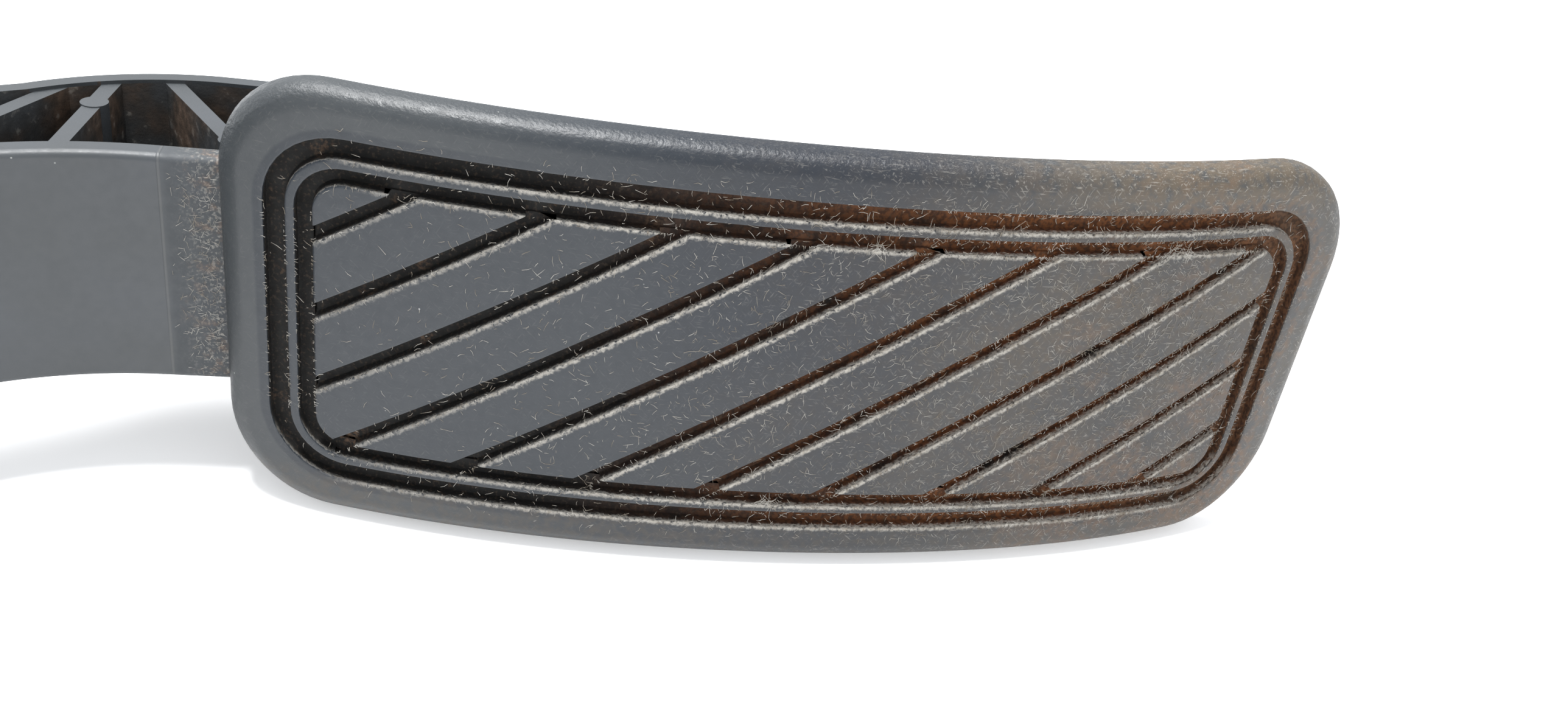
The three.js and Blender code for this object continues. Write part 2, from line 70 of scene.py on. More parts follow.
def pick(piece, kind, test=lambda item: True):  # edit mode, with what passes the test selected
    makeActive(piece)
    mesh = piece.data
    for group in (mesh.vertices, mesh.edges, mesh.polygons):
        for item in group:
            item.select = False
    group = {"VERT": mesh.vertices, "EDGE": mesh.edges, "FACE": mesh.polygons}[kind]
    for item in group:
        item.select = bool(test(item))
    bpy.context.tool_settings.mesh_select_mode = (kind == "VERT", kind == "EDGE", kind == "FACE")
    bpy.ops.object.mode_set(mode="EDIT")


def done():
    bpy.ops.object.mode_set(mode="OBJECT")


def fixNormals(piece):
    pick(piece, "FACE")
    bpy.ops.mesh.remove_doubles(threshold=0.002 * mm)
    bpy.ops.mesh.normals_make_consistent(inside=False)
    done()


def modify(piece, kind, **settings):
    makeActive(piece)
    modifier = piece.modifiers.new(kind.title(), kind)
    for key, value in settings.items():
        setattr(modifier, key, value)
    bpy.ops.object.modifier_apply(modifier=modifier.name)


def combine(piece, tool, operation):
    modify(piece, "BOOLEAN", object=tool, operation=operation, solver="EXACT", material_mode="TRANSFER")
    bpy.data.objects.remove(tool)


def roundEdges(piece, width, segments=2, angle=35):
    modify(piece, "BEVEL", width=width, segments=segments, limit_method="ANGLE",
           angle_limit=math.radians(angle), use_clamp_overlap=True, miter_outer="MITER_ARC")


def place(piece, matrix):
    piece.data.transform(matrix)
    piece.data.update()


def smooth(piece, angle=32):
    makeActive(piece)
    bpy.ops.object.shade_smooth_by_angle(angle=math.radians(angle))


def finishPiece(piece, body, slotName, *nodes):
    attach(piece, body)
    if nodes:
        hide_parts(*nodes)


def roundedPlate(name, left, right, low, high, radii, segments=10):  # in X and Z, at Y = 0
    bpy.ops.object.select_all(action="DESELECT")
    bpy.ops.mesh.primitive_plane_add(size=1, rotation=(math.pi / 2, 0, 0))
    plate = bpy.context.active_object
    plate.name = name
    plate.scale = (right - left, high - low, 1)
    plate.location = ((left + right) / 2, 0, (low + high) / 2)
    bpy.ops.object.transform_apply(location=True, rotation=True, scale=True)
    corners = {"lowLeft": (left, low), "lowRight": (right, low),
               "highRight": (right, high), "highLeft": (left, high)}
    for corner, (x, z) in corners.items():
        pick(plate, "VERT", lambda vertex: (vertex.co - Vector((x, 0, z))).length < 0.1 * mm)
        bpy.ops.mesh.bevel(offset=radii[corner], segments=segments, profile=0.5, affect="VERTICES")
        done()
    return plate


def raiseAlong(piece, offset):  # the flat piece becomes a prism
    pick(piece, "FACE")
    bpy.ops.mesh.extrude_region_move(TRANSFORM_OT_translate={"value": tuple(offset)})
    done()
    fixNormals(piece)


def outlinePrism(name, points, low, high):  # an outline in X and Y, raised along Z
    bpy.ops.object.select_all(action="DESELECT")
    bpy.ops.mesh.primitive_circle_add(vertices=len(points), fill_type="NGON")
    prism = bpy.context.active_object
    prism.name = name
    for vertex, (x, y) in zip(prism.data.vertices, points):
        vertex.co = (x, y, low)
    raiseAlong(prism, (0, 0, high - low))
    return prism


def block(name, lowCorner, highCorner):
    bpy.ops.object.select_all(action="DESELECT")
    low, high = Vector(lowCorner), Vector(highCorner)
    bpy.ops.mesh.primitive_cube_add(size=1, location=(low + high) / 2, scale=high - low)
    made = bpy.context.active_object
    made.name = name
    bpy.ops.object.transform_apply(location=True, rotation=True, scale=True)
    return made


def keepFlat(piece, toFlat):  # a place for the finish to read, which doesn't follow the bow
    flat = piece.data.attributes.new("flat", "FLOAT_VECTOR", "POINT")
    flat.data.foreach_set("vector", [value for vertex in piece.data.vertices for value in toFlat @ vertex.co])


def strands(name, lines, thickness, roundness=0):  # thin closed tubes along lists of points and widths
    curve = bpy.data.curves.new(name, "CURVE")
    curve.dimensions = "3D"
    curve.bevel_depth = thickness
    curve.bevel_resolution = roundness
    curve.use_fill_caps = True
    for line in lines:
        spline = curve.splines.new("POLY")
        spline.points.add(len(line) - 1)
        for point, (spot, width) in zip(spline.points, line):
            point.co = (*spot, 1)
            point.radius = width
    piece = bpy.data.objects.new(name, curve)
    bpy.context.scene.collection.objects.link(piece)
    makeActive(piece)
    bpy.ops.object.convert(target="MESH")
    piece.data.name = name
    return piece


# shader maths
class Wire:  # a socket that takes part in sums
    def __init__(self, finish, socket):
        self.finish, self.socket = finish, socket

    def maths(self, operation, *values):
        return self.finish.node("ShaderNodeMath", {"operation": operation}, dict(enumerate(values)))

    def __add__(self, other):
        return self.maths("ADD", self, other)

    def __radd__(self, other):
        return self.maths("ADD", other, self)

    def __sub__(self, other):
        return self.maths("SUBTRACT", self, other)

    def __rsub__(self, other):
        return self.maths("SUBTRACT", other, self)

    def __mul__(self, other):
        return self.maths("MULTIPLY", self, other)

    def __rmul__(self, other):
        return self.maths("MULTIPLY", other, self)

    def __abs__(self):
        return self.maths("ABSOLUTE", self)

    def root(self):
        return self.maths("SQRT", self)

    def atMost(self, other):
        return self.maths("MINIMUM", self, other)

    def atLeast(self, other):
        return self.maths("MAXIMUM", self, other)

    def step(self, start, end, low=0.0, high=1.0):  # a soft step from low to high
        values = {"Value": self, "From Min": start, "From Max": end, "To Min": low, "To Max": high}
        return self.finish.node("ShaderNodeMapRange", {"interpolation_type": "SMOOTHSTEP"}, values)

    def part(self, axis):
        return self.finish.node("ShaderNodeSeparateXYZ", {}, {0: self}, axis)


class Finish:  # a material, and the nodes that make it
    def __init__(self, name, colour, roughness, metallic=0.0, **constants):
        self.material = bpy.data.materials.new(name)
        self.material.use_nodes = True
        self.nodes = self.material.node_tree.nodes
        self.links = self.material.node_tree.links
        self.shader = self.nodes["Principled BSDF"]
        self.set("Base Color", colour)
        self.set("Roughness", roughness)
        self.set("Metallic", metallic)
        for socketName, value in constants.items():
            self.set(socketName.replace("_", " "), value)

    def put(self, socket, value):
        if isinstance(value, Wire):
            self.links.new(value.socket, socket)
        elif hasattr(value, "__len__") and len(value) == 3 and len(socket.default_value) == 4:
            socket.default_value = (*value, 1)
        else:
            socket.default_value = value

    def set(self, socketName, value):
        self.put(self.shader.inputs[socketName], value)

    def node(self, kind, settings, values, output=0):
        made = self.nodes.new(kind)
        for key, value in settings.items():
            setattr(made, key, value)
        for key, value in values.items():
            self.put(made.inputs[key], value)
        return Wire(self, made.outputs[output])

    def blend(self, factor, first, second, style="MIX"):
        return self.node("ShaderNodeMix", {"data_type": "RGBA", "blend_type": style, "clamp_factor": True},
                         {0: factor, 6: first, 7: second}, 2)

    def bump(self, height, distance, strength=1.0):
        self.set("Normal", self.node("ShaderNodeBump", {}, {"Height": height, "Distance": distance,
                                                           "Strength": strength}))

    def place(self):  # the surface's own coordinates, in millimetres
        here = self.node("ShaderNodeTexCoord", {}, {}, "Object")
        return self.node("ShaderNodeVectorMath", {"operation": "SCALE"}, {0: here, "Scale": 1000.0})

    def stored(self, name):  # a vector kept on the piece, in millimetres
        here = self.node("ShaderNodeAttribute", {"attribute_name": name}, {}, "Vector")
        return self.node("ShaderNodeVectorMath", {"operation": "SCALE"}, {0: here, "Scale": 1000.0})

    def stretched(self, vector, longer, turn=0.0):  # drawn out along Z, after a turn about Y
        return self.node("ShaderNodeMapping", {"vector_type": "TEXTURE"},
                         {"Vector": vector, "Rotation": (0, turn, 0), "Scale": (1.0, 1.0, longer)})

    def noise(self, vector, size, detail):
        return self.node("ShaderNodeTexNoise", {}, {"Vector": vector, "Scale": 1 / size, "Detail": detail,
                                                    "Roughness": 0.55}, "Fac")

    def specks(self, vector, size, radius):  # round dots, one to a cell of that size
        far = self.node("ShaderNodeTexVoronoi", {}, {"Vector": vector, "Scale": 1 / size}, "Distance")
        return far.step(radius / size, radius / size * 0.4)


# the pad
padSizes = {
    "left": -60.45 * mm, "right": 62.8 * mm, "low": -25.5 * mm, "high": 23.85 * mm,
    "radii": {"lowLeft": 11 * mm, "lowRight": 12.5 * mm, "highRight": 13.5 * mm, "highLeft": 11 * mm},
    "face": 3.2 * mm, "rim": 5 * mm, "rimWall": 3.4 * mm, "edgeRound": 2.3 * mm, "backRound": 1.6 * mm,
    "bow": (2.376, 1.1, 137.0),  # the face's depth: these times x^2, x^3 and x^4, in metres
    "slices": 60,
    "grooveDepth": 1.7 * mm, "grooveStep": 0.02 * mm, "grooveRound": 0.26 * mm,
    "outer": {"left": -55.8 * mm, "right": 57.1 * mm, "low": -20.8 * mm, "high": 19.2 * mm,
              "width": 2.1 * mm, "radius": 8 * mm},
    "inner": {"left": -52.7 * mm, "right": 54.0 * mm, "low": -17.8 * mm, "high": 16.1 * mm,
              "width": 1.7 * mm, "radius": 5 * mm},
    "diagonals": 11, "pitch": 13 * mm, "offset": 0.2 * mm, "width": 1.5 * mm, "slope": 0.673,
    "backRibs": (-38 * mm, -16 * mm, 6 * mm, 28 * mm, 48 * mm), "longRibs": (-12.1 * mm, 12.1 * mm),
    "ribHalf": 0.9 * mm, "ribHeight": 1.5 * mm, "ribRoot": 0.3 * mm, "ribInset": 2 * mm,
}


def bowDepth(x):
    square, cube, fourth = padSizes["bow"]
    return square * x ** 2 + cube * x ** 3 + fourth * x ** 4


def sameRadii(radius):
    return {corner: radius for corner in padSizes["radii"]}


def grooveRing(name, ring, depth):
    plate = roundedPlate(name, ring["left"], ring["right"], ring["low"], ring["high"],
                         sameRadii(ring["radius"]))
    pick(plate, "FACE")
    bpy.ops.mesh.inset(thickness=ring["width"])
    bpy.ops.mesh.delete(type="FACE")
    done()
    place(plate, Matrix.Translation((0, -1 * mm, 0)))
    raiseAlong(plate, (0, depth + 1 * mm, 0))
    return plate


def diagonalEnds(index):  # a diagonal's middle line, and half its height
    sizes, ring = padSizes, padSizes["inner"]
    half = ring["width"] / 2
    left, right = ring["left"] + half, ring["right"] - half
    low, high = ring["low"] + half, ring["high"] - half
    start = sizes["offset"] + (index - (sizes["diagonals"] - 1) / 2) * sizes["pitch"]
    drop = sizes["width"] * math.hypot(1, sizes["slope"]) / 2
    heightAt = lambda x: sizes["slope"] * (x - start) - drop
    acrossAt = lambda z: (z + drop) / sizes["slope"] + start
    x0 = max(left, acrossAt(low))
    x1 = min(right, acrossAt(high))
    return (x0, heightAt(x0)), (x1, heightAt(x1)), drop


def diagonalCut(index):
    sizes = padSizes
    depth = sizes["grooveDepth"] - sizes["grooveStep"] * (2 + index % 3)  # no two floors lie in one plane
    (x0, z0), (x1, z1), drop = diagonalEnds(index)
    middle = Vector(((x0 + x1) / 2, (depth - 1 * mm) / 2, (z0 + z1) / 2))
    length = math.hypot(x1 - x0, z1 - z0)
    bpy.ops.object.select_all(action="DESELECT")
    bpy.ops.mesh.primitive_cube_add(size=1, location=middle, rotation=(0, -math.atan(sizes["slope"]), 0),
                                    scale=(length, depth + 1 * mm, sizes["width"]))
    bpy.ops.object.transform_apply(location=True, rotation=True, scale=True)
    return bpy.context.active_object


def makePad():
    sizes = padSizes
    pad = roundedPlate("pad", sizes["left"], sizes["right"], sizes["low"], sizes["high"], sizes["radii"], 14)
    raiseAlong(pad, (0, sizes["rim"], 0))
    onFront = lambda face: abs(face.center.y) < 0.01 * mm and abs(face.normal.y) > 0.9
    pick(pad, "FACE", onFront)
    bpy.ops.mesh.region_to_loop()
    bpy.ops.mesh.bevel(offset=sizes["edgeRound"], segments=8, profile=0.5, affect="EDGES")
    done()
    onBack = lambda face: face.center.y > sizes["rim"] - 0.01 * mm and abs(face.normal.y) > 0.9
    pick(pad, "FACE", onBack)
    bpy.ops.mesh.region_to_loop()
    bpy.ops.mesh.bevel(offset=sizes["backRound"], segments=5, profile=0.5, affect="EDGES")
    done()
    pick(pad, "FACE", onBack)
    bpy.ops.mesh.inset(thickness=sizes["rimWall"] - sizes["backRound"])
    bpy.ops.mesh.extrude_region_move(TRANSFORM_OT_translate={"value": (0, sizes["face"] - sizes["rim"], 0)})
    done()
    combine(pad, grooveRing("outerRing", sizes["outer"], sizes["grooveDepth"]), "DIFFERENCE")
    combine(pad, grooveRing("innerRing", sizes["inner"], sizes["grooveDepth"]), "DIFFERENCE")
    for index in range(sizes["diagonals"]):
        combine(pad, diagonalCut(index), "DIFFERENCE")
    half, inset = sizes["ribHalf"], sizes["ribInset"]
    root, crest = sizes["face"] - sizes["ribRoot"], sizes["face"] + sizes["ribHeight"]
    for x in sizes["backRibs"]:
        rib = block("rib", (x - half, root, sizes["low"] + inset), (x + half, crest, sizes["high"] - inset))
        combine(pad, rib, "UNION")
    for z in sizes["longRibs"]:
        rib = block("rib", (sizes["left"] + inset, root, z - half), (sizes["right"] - inset, crest, z + half))
        combine(pad, rib, "UNION")
    print("pad cut:", len(pad.data.vertices))
    modify(pad, "BEVEL", width=sizes["grooveRound"], segments=2, limit_method="ANGLE",
           angle_limit=math.radians(40), use_clamp_overlap=False, miter_outer="MITER_ARC")
    for index in range(1, sizes["slices"]):
        x = sizes["left"] + (sizes["right"] - sizes["left"]) * index / sizes["slices"]
        pick(pad, "FACE")
        bpy.ops.mesh.bisect(plane_co=(x, 0, 0), plane_no=(1, 0, 0))
        done()
    print("pad sliced:", len(pad.data.vertices))
    keepFlat(pad, Matrix())
    for vertex in pad.data.vertices:
        vertex.co.y += bowDepth(vertex.co.x)
    place(pad, padToRow)
    smooth(pad)
    modify(pad, "WEIGHTED_NORMAL", keep_sharp=True)
    return pad


# the arm
armSizes = {
    "halfWidth": 13 * mm, "flange": 2.4 * mm, "halfWeb": 1.3 * mm, "rib": 1.8 * mm, "ribCount": 6,
    "hubRadius": 15 * mm, "hubHalf": 18.7 * mm, "shaftHole": 5.3 * mm,
    "frontBend": {"x": -67.5, "y": -27, "radius": 40, "angle": 36},  # millimetres, in the pad's own frame
    "backBend": {"x": -64, "y": 4.5, "radius": 31, "angle": 38},
    "tail": {"x": -26 * mm, "y": -5 * mm, "radius": 5 * mm, "half": 10 * mm},
    "ribDrop": 0.4 * mm, "fillet": 1.1 * mm, "edge": 0.8 * mm, "bendSteps": 20,
    "ejectorMarks": ((6, 0.8), (7, 0.35), (8, 0.6), (2, 0.5), (4, 0.5)),  # each one's rib, and how far along
    "markRadius": 1.4 * mm, "markProud": 0.12 * mm,
}


def fromPad(x, y):  # millimetres in the pad's own frame, to metres from the pivot
    cos, sin = math.cos(padPlace["tilt"]), math.sin(padPlace["tilt"])
    return Vector((padPlace["x"] + (x * cos + y * sin) * mm, padPlace["y"] + (y * cos - x * sin) * mm))


def bendPoints(bend):
    steps = armSizes["bendSteps"]
    turns = [math.radians(bend["angle"] * (1 - i / steps)) for i in range(steps + 1)]
    return [fromPad(bend["x"] - bend["radius"] * math.sin(turn), bend["y"] + bend["radius"] * math.cos(turn))
            for turn in turns]


def offsetLine(points, distance):
    moved = []
    for i, point in enumerate(points):
        along = (points[min(i + 1, len(points) - 1)] - points[max(i - 1, 0)]).normalized()
        moved.append(point + Vector((-along.y, along.x)) * distance)
    return moved


def bar(start, end, width, low, high):
    side = (end - start).normalized() * width / 2
    side = Vector((-side.y, side.x))
    return outlinePrism("bar", [start - side, end - side, end + side, start + side], low, high)


def drum(x, y, radius, low, high, sides=64):
    bpy.ops.object.select_all(action="DESELECT")
    bpy.ops.mesh.primitive_cylinder_add(vertices=sides, radius=radius, depth=high - low,
                                        location=(x, y, (low + high) / 2))
    bpy.ops.object.transform_apply(location=True, rotation=True, scale=True)
    return bpy.context.active_object


def ribLines():
    count = armSizes["ribCount"]
    frontAt = lambda t: Vector((22 + 96 * t, -14 - 6 * t)) * mm
    backAt = lambda t: Vector((22 + 96 * t, 10 - 14 * t)) * mm
    lines = []
    for i in range(count):
        start, end = i / count, (i + 1) / count
        lines.append((frontAt(start), backAt(end)) if i % 2 else (backAt(start), frontAt(end)))
    lines += [  # three ribs fan out from the back flange at the bend
        (fromPad(-69.3, 34), fromPad(-58, 15)),
        (fromPad(-74.5, 33), fromPad(-76.2, 12)),
        (fromPad(-78.4, 31.5), fromPad(-89, 9)),
        (frontAt(1), fromPad(-89, 25)),
    ]
    return lines


def makeArm():
    sizes, tail = armSizes, armSizes["tail"]
    half = sizes["halfWidth"]
    front = [Vector((2 * mm, -sizes["hubRadius"])), *bendPoints(sizes["frontBend"]), fromPad(-59, 13)]
    back = [Vector((4 * mm, sizes["hubRadius"] - 1 * mm)), *bendPoints(sizes["backBend"]), fromPad(-56, 35.2)]
    heel = [fromPad(-57, 11), fromPad(-50, 8.8), fromPad(-32, 4.6), fromPad(-14, 3), fromPad(-14, 8),
            fromPad(-36, 25.5), fromPad(-48, 33)]
    beam = outlinePrism("arm", front + heel + back[::-1], -half, half)
    pick(beam, "FACE", lambda face: abs(face.normal.z) > 0.9)
    bpy.ops.mesh.region_to_loop()
    bpy.ops.mesh.bevel(offset=sizes["edge"], segments=4, profile=0.5, affect="EDGES")
    done()
    dress(beam, "arm")
    innerFront = [Vector((20, -13.6)) * mm, *offsetLine(front, sizes["flange"])[1:]]
    innerBack = [Vector((20, 9.2)) * mm, *offsetLine(back, -sizes["flange"])[1:]]
    pocket = innerFront + innerBack[::-1]
    heelPocket = [fromPad(-54, 20), fromPad(-33, 20), fromPad(-49, 30.5), fromPad(-54, 32)]
    top = half + 5 * mm
    for side in (1, -1):
        low, high = sorted((side * sizes["halfWeb"], side * top))
        cell = outlinePrism("pocket", pocket, low, high)
        dress(cell, "pocket")
        for start, end in ribLines():
            wall = bar(start, end, sizes["rib"], low - 1 * mm, high + 1 * mm)
            dress(wall, "pocket")
            combine(cell, wall, "DIFFERENCE")
        roundEdges(cell, sizes["fillet"], 3, 30)
        combine(beam, cell, "DIFFERENCE")
        heelCell = outlinePrism("heelPocket", heelPocket, low, high)
        dress(heelCell, "pocket")
        roundEdges(heelCell, sizes["fillet"], 3, 30)
        combine(beam, heelCell, "DIFFERENCE")
        low, high = sorted((side * (half - sizes["ribDrop"]), side * top))
        lowered = outlinePrism("ribDrop", pocket, low, high)
        dress(lowered, "arm")
        combine(beam, lowered, "DIFFERENCE")
        for index, share in sizes["ejectorMarks"]:
            start, end = ribLines()[index]
            spot = start.lerp(end, share)
            crest = half - sizes["ribDrop"] + sizes["markProud"]
            low, high = sorted((side * sizes["halfWeb"], side * crest))
            mark = drum(spot.x, spot.y, sizes["markRadius"], low, high, 24)
            dress(mark, "arm")
            combine(beam, mark, "UNION")
    print("arm pockets:", len(beam.data.vertices))
    nose = drum(tail["x"], tail["y"], tail["radius"], -tail["half"], tail["half"], 40)
    hub = drum(0, 0, sizes["hubRadius"], -sizes["hubHalf"], sizes["hubHalf"], 96)
    sides = [Vector(point) * mm for point in ((-4, -9.9), (-26.5, -9.95), (-25, -0.1), (-4, 13))]
    for piece in (nose, hub):
        dress(piece, "arm")
    tailBlock = outlinePrism("tail", sides, -tail["half"], tail["half"])
    dress(tailBlock, "arm")
    combine(beam, tailBlock, "UNION")
    combine(beam, nose, "UNION")
    combine(beam, hub, "UNION")
    bore = drum(0, 0, sizes["shaftHole"], -30 * mm, 30 * mm, 48)
    dress(bore, "arm")
    combine(beam, bore, "DIFFERENCE")
    place(beam, toRow)
    keepFlat(beam, padToRow.inverted())
    smooth(beam)
    modify(beam, "WEIGHTED_NORMAL", keep_sharp=True)
    return beam


# lint
lintSizes = {
    "seed": 11, "thickness": 0.019 * mm, "step": 0.13 * mm, "length": (0.2 * mm, 0.7 * mm), "lift": 0.1 * mm,
    "armCount": 260, "armFrom": -66 * mm, "armTo": -61 * mm, "armHalf": 12 * mm, "armDepth": 12.95 * mm,
    "armLength": (0.3 * mm, 0.9 * mm),
    "faceCount": 4600, "faceLength": (0.35 * mm, 1.4 * mm), "faceRise": 0.04 * mm, "densest": 44 * mm,
    "hairCount": 7, "hairLength": 5 * mm, "hairSteps": 8, "hairRise": 0.12 * mm,
    "hairX": (-15 * mm, 45 * mm), "hairZ": (-17 * mm, 12 * mm), "inset": 4 * mm,
    "clumpCount": 22, "clumpSpread": (0.45, 0.3), "clumpLength": (0.5, 1.5), "clumpRise": 0.5 * mm,
    "clumps": ((37.5, 15.4), (39.2, 15.0), (-2.5, -17.2), (4, 14.9)),  # millimetres, in the pad's own frame
}


def lintFibre(x, z, heading, length, lift):  # points and widths on the bowed face
    points = []
    bend = random.uniform(-0.6, 0.6)
    for share, width in ((0, 1.0), (0.5, 0.9), (1, 0.35)):
        turn = heading + bend * share
        px, pz = x + math.cos(turn) * length * share, z + math.sin(turn) * length * share
        px = min(max(px, padSizes["left"] + 3 * mm), padSizes["right"] - 3 * mm)
        points.append(((px, bowDepth(px) - lift * (0.3 + 0.7 * share), pz), width))
    return points


def lintAlong(start, end, away, density):  # frayed fibres on one lip of a groove
    sizes, lines = lintSizes, []
    (x0, z0), (x1, z1) = start, end
    for _ in range(int(math.hypot(x1 - x0, z1 - z0) / sizes["step"])):
        share = random.random()
        x, z = x0 + (x1 - x0) * share, z0 + (z1 - z0) * share
        heading = away + random.gauss(0, 0.8)
        length = random.uniform(*sizes["length"]) * random.uniform(0.5, 1)
        if random.random() < density(x):
            lines.append(lintFibre(x - math.cos(away) * 0.1 * mm, z - math.sin(away) * 0.1 * mm,
                                   heading, length, sizes["lift"] * random.uniform(0.4, 1.6)))
    return lines


def rampUp(value, start, end):
    share = min(max((value - start) / (end - start), 0), 1)
    return share * share * (3 - 2 * share)


def makeLint():
    sizes, pad, lines = lintSizes, padSizes, []
    random.seed(sizes["seed"])
    lower = lambda x: 0.4 + 0.6 * rampUp(x, -30 * mm, 30 * mm)
    upper = lambda x: 0.04 + 0.5 * rampUp(x, -10 * mm, 30 * mm)
    down, up = -math.pi / 2, math.pi / 2
    for ring in (pad["outer"], pad["inner"]):
        near, far = ring["left"] + ring["radius"], ring["right"] - ring["radius"]
        for top in (ring["high"], ring["low"] + ring["width"]):
            lines += lintAlong((near, top - ring["width"]), (far, top - ring["width"]), down, lower)
            lines += lintAlong((near, top), (far, top), up, upper)
        bottom, top = ring["low"] + ring["radius"], ring["high"] - ring["radius"]
        left, right, width = ring["left"], ring["right"], ring["width"]
        for side in (left, left + width, right - width, right):
            lines += lintAlong((side, bottom), (side, top), random.choice((0, math.pi)), lambda x: 0.3)
    for index in range(pad["diagonals"]):
        (x0, z0), (x1, z1), drop = diagonalEnds(index)
        turn = math.atan(pad["slope"])
        lines += lintAlong((x0, z0 - drop), (x1, z1 - drop), turn + down, lower)
        lines += lintAlong((x0, z0 + drop), (x1, z1 + drop), turn + up, upper)
    edgeLines, lines = lines, []
    for _ in range(sizes["faceCount"]):
        x = random.triangular(pad["left"] + sizes["inset"], pad["right"] - sizes["inset"], sizes["densest"])
        z = random.uniform(pad["low"] + 3 * mm, pad["high"] - 3 * mm)
        length = random.uniform(*sizes["faceLength"]) * random.uniform(0.4, 1)
        lines.append(lintFibre(x, z, random.uniform(0, 2 * math.pi), length, sizes["faceRise"]))
    spreadX, spreadZ = sizes["clumpSpread"]
    for clumpX, clumpZ in sizes["clumps"]:
        for _ in range(sizes["clumpCount"]):
            x, z = clumpX + random.gauss(0, spreadX), clumpZ + random.gauss(0, spreadZ)
            heading, length = random.uniform(0, 2 * math.pi), random.uniform(*sizes["clumpLength"]) * mm
            lines.append(lintFibre(x * mm, z * mm, heading, length, sizes["clumpRise"]))
    for _ in range(sizes["hairCount"]):
        x, z = random.uniform(*sizes["hairX"]), random.uniform(*sizes["hairZ"])
        turn, points = random.uniform(0, 2 * math.pi), []
        stride = sizes["hairLength"] / sizes["hairSteps"]
        for i in range(sizes["hairSteps"] + 1):
            points.append(((x, bowDepth(x) - sizes["hairRise"], z), 0.9 - i * 0.05))
            turn += random.uniform(-0.6, 0.6)
            x += math.cos(turn) * stride
            z += math.sin(turn) * stride
        lines.append(points)
    for _ in range(sizes["armCount"]):
        x = random.triangular(sizes["armFrom"], sizes["armTo"], sizes["armTo"])
        z, turn = random.uniform(-sizes["armHalf"], sizes["armHalf"]), random.uniform(0, 2 * math.pi)
        length, depth = random.uniform(*sizes["armLength"]), sizes["armDepth"]
        far = (x + math.cos(turn) * length, depth - 0.1 * mm, z + math.sin(turn) * length)
        lines.append([((x, depth - 0.02 * mm, z), 1.0), (far, 0.4)])
    for name, fibres in (("grooveLint", edgeLines), ("faceLint", lines)):
        lint = strands(name, fibres, sizes["thickness"])
        place(lint, padToRow)
        dress(lint, "lint")
        finishPiece(lint, pedalBody, "arm_plastic")
        print(name, "fibres:", len(fibres))


# springs and screws
springSizes = {
    "spring_outer": {"radius": 7.2 * mm, "wire": 0.95 * mm, "turns": 6.25},
    "spring_inner": {"radius": 4.6 * mm, "wire": 0.65 * mm, "turns": 8.25},
    "x": -27 * mm, "from": -38.7 * mm, "to": -17.3 * mm, "pointsInTurn": 28, "pressed": 0.57,
}


def makeSpring(nodeName, pieceName):
    sizes, wire = springSizes, springSizes[nodeName]["wire"]
    radius, turns = springSizes[nodeName]["radius"], springSizes[nodeName]["turns"]
    length = sizes["to"] - sizes["from"] - 2 * wire
    line, count = [], int(turns * sizes["pointsInTurn"])
    for i in range(count + 1):
        turned = turns * i / count
        closed = min(turned, 1) + max(turned - (turns - 1), 0)  # the end turns lie close
        spread = turned - closed
        y = sizes["from"] + wire + closed * 2 * wire + spread * (length - 4 * wire) / (turns - 2)
        angle = 2 * math.pi * turned
        line.append(((sizes["x"] + radius * math.cos(angle), y, radius * math.sin(angle)), 1.0))
    spring = strands(pieceName, [line], wire, 3)
    place(spring, toRow)
    smooth(spring, 50)
    dress(spring, "spring")
    finishPiece(spring, housingBody, "spring_steel", nodeName)
    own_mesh(spring)


screwSizes = {
    "recess": 1.5 * mm, "recessDepth": 1.1 * mm, "lobe": 0.42 * mm, "dome": 0.7 * mm,
    "threadPitch": 1.25 * mm, "threadHeight": 0.28 * mm, "threadStart": 1.2 * mm, "bare": 2.5 * mm,
    "sides": 48, "threadSteps": 14,
    "sensor": {"head": 3.4 * mm, "height": 2 * mm, "shank": 1.2 * mm, "length": 9.5 * mm,
               "seat": 26.8 * mm, "up": 1},
    "cover": {"head": 3.6 * mm, "height": 1.9 * mm, "shank": 1.4 * mm, "length": 15 * mm,
              "seat": -24.1 * mm, "up": -1},
    "sensorSpots": ((-35, -22), (-35, 15), (29, 0)),
    "coverSpots": ((-56, -36), (-56, 20), (-14, -36), (8.5, 21)),
}


